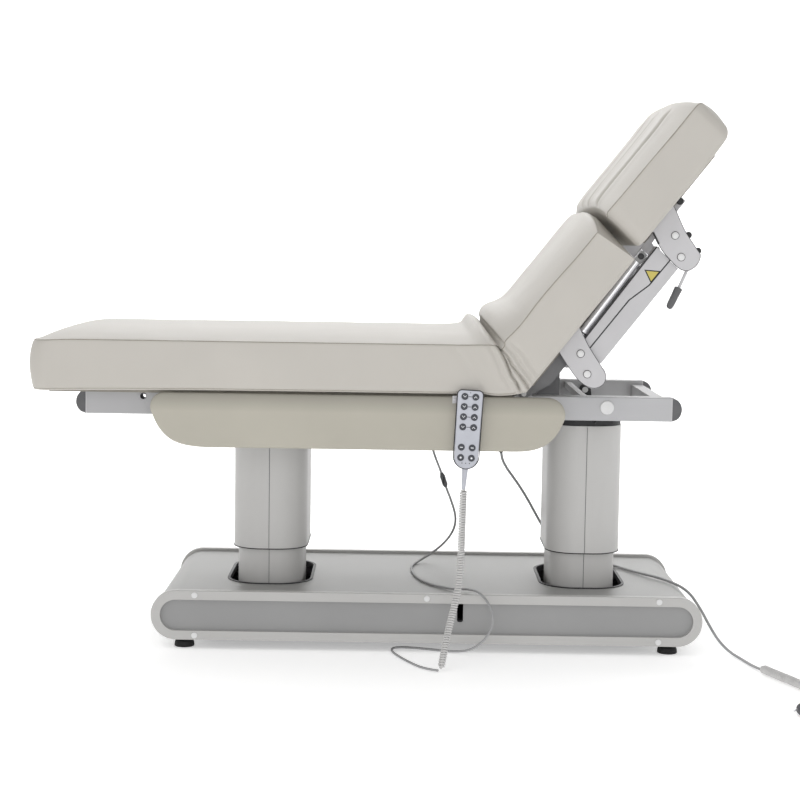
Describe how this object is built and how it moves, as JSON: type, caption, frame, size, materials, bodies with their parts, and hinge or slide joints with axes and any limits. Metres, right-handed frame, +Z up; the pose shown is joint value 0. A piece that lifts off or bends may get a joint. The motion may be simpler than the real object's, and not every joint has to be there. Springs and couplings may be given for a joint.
{
  "type": "facial treatment bed",
  "caption": "Powered treatment bed: padded seat, raised back and head sections on a tilting frame, two lifting columns, wide low base, hanging corded handset.",
  "frame": {"origin": "on the floor, under the middle of the bed's outline without its cords", "axes": "+X from the foot end to the head end, +Z up, the hanging handset is on the -Y side"},
  "size_m": [1.856, 1.259, 1.3524],
  "materials": {
    "painted_shell": "satin powder coat",
    "recessed_panel": "satin powder coat",
    "dark_steel": "semi-matt paint",
    "pale_plastic": "fine texture",
    "black_plastic": "fine texture",
    "black_rubber": "matt",
    "board": "raw plywood",
    "upholstery": "soft synthetic leather",
    "grey_steel": "satin powder coat",
    "bright_steel": "polished",
    "silver_plastic": "satin silver",
    "key_plastic": "soft touch",
    "cord_sheath": "satin"
  },
  "bodies": {
    "base": {"base_cover": "painted_shell", "base_front_ring": "painted_shell", "base_rear_ring": "painted_shell", "base_panels": "recessed_panel", "base_chassis": "dark_steel", "ring_screws": "pale_plastic", "opening_trims": "black_plastic", "foot_lower_cover": "painted_shell", "head_lower_cover": "painted_shell", "lift_column_bodies": "dark_steel", "mains_cord_coil": "cord_sheath", "mains_plug": "pale_plastic"},
    "head_lift": {"head_upper_cover": "painted_shell", "head_lift_inner": "dark_steel", "head_column_cap": "black_plastic"},
    "bed_frame": {"side_rails": "painted_shell", "rail_end_caps": "black_plastic", "cross_beams": "dark_steel", "pivot_pins": "dark_steel", "seat_deck": "board", "seat_cushion": "upholstery", "side_skirts": "upholstery", "control_box": "pale_plastic", "back_actuator_body": "pale_plastic", "handset_hook": "black_plastic", "handset_cord": "cord_sheath", "inline_connector": "pale_plastic", "mains_cord": "cord_sheath"},
    "foot_lift": {"foot_upper_cover": "painted_shell", "foot_lift_inner": "dark_steel"},
    "back": {"back_board": "board", "back_frame": "dark_steel", "back_cushion": "upholstery", "back_side_plates": "grey_steel", "side_tubes": "bright_steel", "upper_arm_shells": "pale_plastic", "lower_arm_shells": "pale_plastic"},
    "actuator_rod": {"back_actuator_rod": "dark_steel"},
    "head": {"head_board": "board", "head_cushion": "upholstery", "head_side_plates": "grey_steel"},
    "lever": {"release_lever": "black_plastic"},
    "handset": {"handset_shell": "silver_plastic", "handset_cord_coil": "cord_sheath"},
    "foot_pad_foot_near": {"levelling_foot_foot_near": "black_rubber"},
    "foot_pad_foot_far": {"levelling_foot_foot_far": "black_rubber"},
    "foot_pad_head_near": {"levelling_foot_head_near": "black_rubber"},
    "foot_pad_head_far": {"levelling_foot_head_far": "black_rubber"},
    "key_01": {"handset_key_01": "key_plastic"},
    "key_02": {"handset_key_02": "key_plastic"},
    "key_03": {"handset_key_03": "key_plastic"},
    "key_04": {"handset_key_04": "key_plastic"},
    "key_05": {"handset_key_05": "key_plastic"},
    "key_06": {"handset_key_06": "key_plastic"},
    "key_07": {"handset_key_07": "key_plastic"},
    "key_08": {"handset_key_08": "key_plastic"},
    "key_09": {"handset_key_09": "key_plastic"},
    "key_10": {"handset_key_10": "key_plastic"},
    "key_11": {"handset_key_11": "key_plastic"},
    "key_12": {"handset_key_12": "key_plastic"}
  },
  "joints": [
    {"name": "height", "type": "slide", "parent": "base", "child": "head_lift", "axis": [0, 0, 1], "range_m": [-0.1, 0.11], "deforming": ["handset_cord", "mains_cord", "handset_cord_coil"]},
    {"name": "tilt", "type": "hinge", "parent": "head_lift", "child": "bed_frame", "pos_m": [0.561, 0, 0.619], "axis": [0, -1, 0], "range_deg": [-3, 3]},
    {"name": "foot_column_head", "type": "hinge", "parent": "bed_frame", "child": "foot_lift", "pos_m": [-0.281, 0, 0.6], "axis": [0, -1, 0], "range_deg": [-3.2, 3.2]},
    {"name": "back_raise", "type": "hinge", "parent": "bed_frame", "child": "back", "pos_m": [0.354, 0, 0.651], "axis": [0, -1, 0], "range_deg": [-52, 18]},
    {"name": "actuator_stroke", "type": "slide", "parent": "bed_frame", "child": "actuator_rod", "axis": [1, 0, 0], "range_m": [-0.08, 0.03]},
    {"name": "head_raise", "type": "hinge", "parent": "back", "child": "head", "pos_m": [0.62839, 0, 0.99245], "axis": [0, -1, 0], "range_deg": [-18, 4]},
    {"name": "lever_pull", "type": "hinge", "parent": "head", "child": "lever", "pos_m": [0.74516, 0, 0.96975], "axis": [0, -1, 0], "range_deg": [0, 12], "stiffness_Nm_per_rad": 2, "springref_deg": -20.05},
    {"name": "handset_lift", "type": "slide", "parent": "bed_frame", "child": "handset", "axis": [0, 0, 1], "range_m": [0, 0.025]},
    {"name": "level_foot_near", "type": "slide", "parent": "base", "child": "foot_pad_foot_near", "axis": [0, 0, -1], "range_m": [0, 0.012]},
    {"name": "level_foot_far", "type": "slide", "parent": "base", "child": "foot_pad_foot_far", "axis": [0, 0, -1], "range_m": [0, 0.012]},
    {"name": "level_head_near", "type": "slide", "parent": "base", "child": "foot_pad_head_near", "axis": [0, 0, -1], "range_m": [0, 0.012]},
    {"name": "level_head_far", "type": "slide", "parent": "base", "child": "foot_pad_head_far", "axis": [0, 0, -1], "range_m": [0, 0.012]},
    {"name": "key_01_press", "type": "slide", "parent": "handset", "child": "key_01", "axis": [0, 1, 0], "range_m": [0, 0.0012], "stiffness_N_per_m": 900, "springref_m": -0.0012},
    {"name": "key_02_press", "type": "slide", "parent": "handset", "child": "key_02", "axis": [0, 1, 0], "range_m": [0, 0.0012], "stiffness_N_per_m": 900, "springref_m": -0.0012},
    {"name": "key_03_press", "type": "slide", "parent": "handset", "child": "key_03", "axis": [0, 1, 0], "range_m": [0, 0.0012], "stiffness_N_per_m": 900, "springref_m": -0.0012},
    {"name": "key_04_press", "type": "slide", "parent": "handset", "child": "key_04", "axis": [0, 1, 0], "range_m": [0, 0.0012], "stiffness_N_per_m": 900, "springref_m": -0.0012},
    {"name": "key_05_press", "type": "slide", "parent": "handset", "child": "key_05", "axis": [0, 1, 0], "range_m": [0, 0.0012], "stiffness_N_per_m": 900, "springref_m": -0.0012},
    {"name": "key_06_press", "type": "slide", "parent": "handset", "child": "key_06", "axis": [0, 1, 0], "range_m": [0, 0.0012], "stiffness_N_per_m": 900, "springref_m": -0.0012},
    {"name": "key_07_press", "type": "slide", "parent": "handset", "child": "key_07", "axis": [0, 1, 0], "range_m": [0, 0.0012], "stiffness_N_per_m": 900, "springref_m": -0.0012},
    {"name": "key_08_press", "type": "slide", "parent": "handset", "child": "key_08", "axis": [0, 1, 0], "range_m": [0, 0.0012], "stiffness_N_per_m": 900, "springref_m": -0.0012},
    {"name": "key_09_press", "type": "slide", "parent": "handset", "child": "key_09", "axis": [0, 1, 0], "range_m": [0, 0.0012], "stiffness_N_per_m": 900, "springref_m": -0.0012},
    {"name": "key_10_press", "type": "slide", "parent": "handset", "child": "key_10", "axis": [0, 1, 0], "range_m": [0, 0.0012], "stiffness_N_per_m": 900, "springref_m": -0.0012},
    {"name": "key_11_press", "type": "slide", "parent": "handset", "child": "key_11", "axis": [0, 1, 0], "range_m": [0, 0.0012], "stiffness_N_per_m": 900, "springref_m": -0.0012},
    {"name": "key_12_press", "type": "slide", "parent": "handset", "child": "key_12", "axis": [0, 1, 0], "range_m": [0, 0.0012], "stiffness_N_per_m": 900, "springref_m": -0.0012}
  ],
  "couplings": [
    {"joint": "foot_column_head", "follows": "tilt", "ratio": -1},
    {"joint": "actuator_stroke", "follows": "back_raise", "m_per_rad": 0.085}
  ]
}
